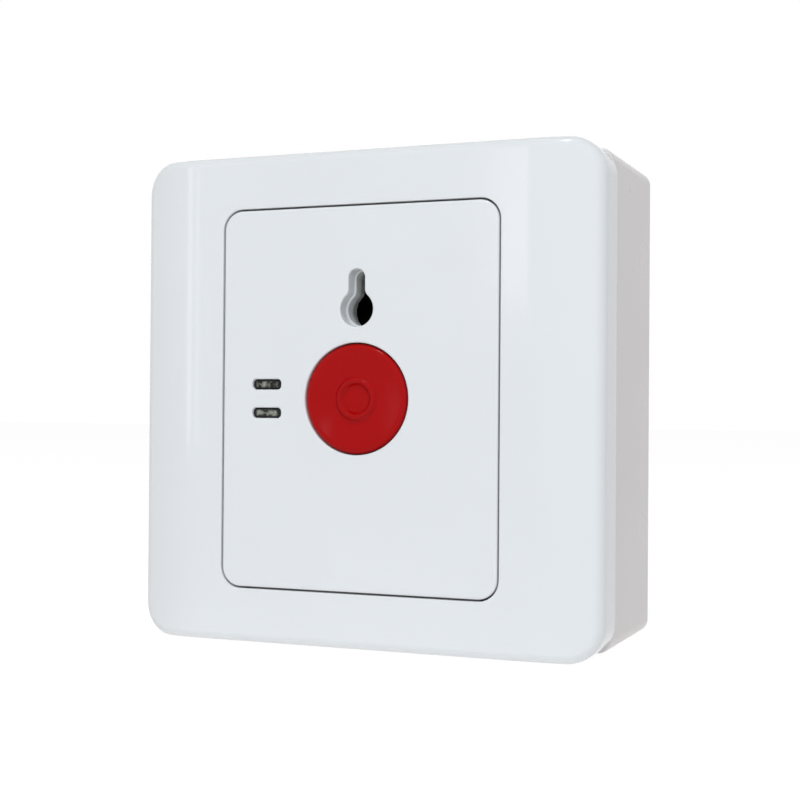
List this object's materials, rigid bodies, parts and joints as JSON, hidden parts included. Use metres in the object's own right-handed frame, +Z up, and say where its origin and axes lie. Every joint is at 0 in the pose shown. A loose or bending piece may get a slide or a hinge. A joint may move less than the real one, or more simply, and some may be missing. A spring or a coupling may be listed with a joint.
{
  "type": "one-button alarm station",
  "caption": "Square white surface-mounted alarm station with a latching red push button, a keyhole that resets it and two small indicator windows.",
  "frame": {"origin": "centre of the back box's wall face", "axes": "+Y into the wall, so the front looks along -Y; +Z up; +X to the right seen from the front"},
  "size_m": [0.086, 0.0388, 0.086],
  "materials": {
    "face_frame_plastic": "moulded gloss",
    "cover_plate_plastic": "moulded gloss",
    "back_box_plastic": "moulded satin gloss",
    "button_red": "moulded gloss",
    "inner_white": "moulded matte",
    "inner_black": "moulded matte",
    "contact_brass": "stamped",
    "spring_steel": "drawn wire",
    "screw_steel": "zinc plated",
    "smoked_lens": "smoked, see-through",
    "lamp_clear": "clear resin",
    "board_green": "solder resist",
    "block_blue": "moulded",
    "resistor_tan": "coated"
  },
  "bodies": {
    "station": {"alarm_terminal_left": "contact_brass", "alarm_terminal_left_screw": "screw_steel", "alarm_terminal_right": "contact_brass", "alarm_terminal_right_screw": "screw_steel", "back_box": "back_box_plastic", "block_screw_lower": "screw_steel", "block_screw_upper": "screw_steel", "board_screw_lower": "screw_steel", "board_screw_upper": "screw_steel", "board_terminal_block": "block_blue", "cover_plate": "cover_plate_plastic", "cover_screw_lower": "screw_steel", "cover_screw_upper": "screw_steel", "face_frame": "face_frame_plastic", "frame_screw_left": "screw_steel", "frame_screw_right": "screw_steel", "housing_screw_1": "screw_steel", "housing_screw_2": "screw_steel", "housing_screw_3": "screw_steel", "housing_screw_4": "screw_steel", "indicator_board": "board_green", "indicator_lamp_lower": "lamp_clear", "indicator_lamp_upper": "lamp_clear", "indicator_lens_lower": "smoked_lens", "indicator_lens_upper": "smoked_lens", "latch_spring": "spring_steel", "mechanism_housing": "inner_white", "mounting_frame": "inner_white", "post_insert_left": "contact_brass", "post_insert_right": "contact_brass", "rear_cover": "inner_black", "resistor_lower": "resistor_tan", "resistor_upper": "resistor_tan", "rest_terminal_left": "contact_brass", "rest_terminal_left_screw": "screw_steel", "rest_terminal_right": "contact_brass", "rest_terminal_right_screw": "screw_steel", "return_spring": "spring_steel"},
    "button": {"push_button": "button_red", "contact_bridge": "contact_brass", "bridge_clip": "spring_steel"},
    "latch": {"latch_slide": "inner_black"}
  },
  "joints": [
    {"name": "button_press", "type": "slide", "parent": "station", "child": "button", "axis": [0, 1, 0], "range_m": [0, 0.0035], "stiffness_N_per_m": 900, "springref_m": -0.002, "deforming": ["return_spring"]},
    {"name": "latch_release", "type": "slide", "parent": "station", "child": "latch", "axis": [1, 0, 0], "range_m": [0, 0.0022], "stiffness_N_per_m": 400, "springref_m": -0.002, "deforming": ["latch_spring"]}
  ]
}
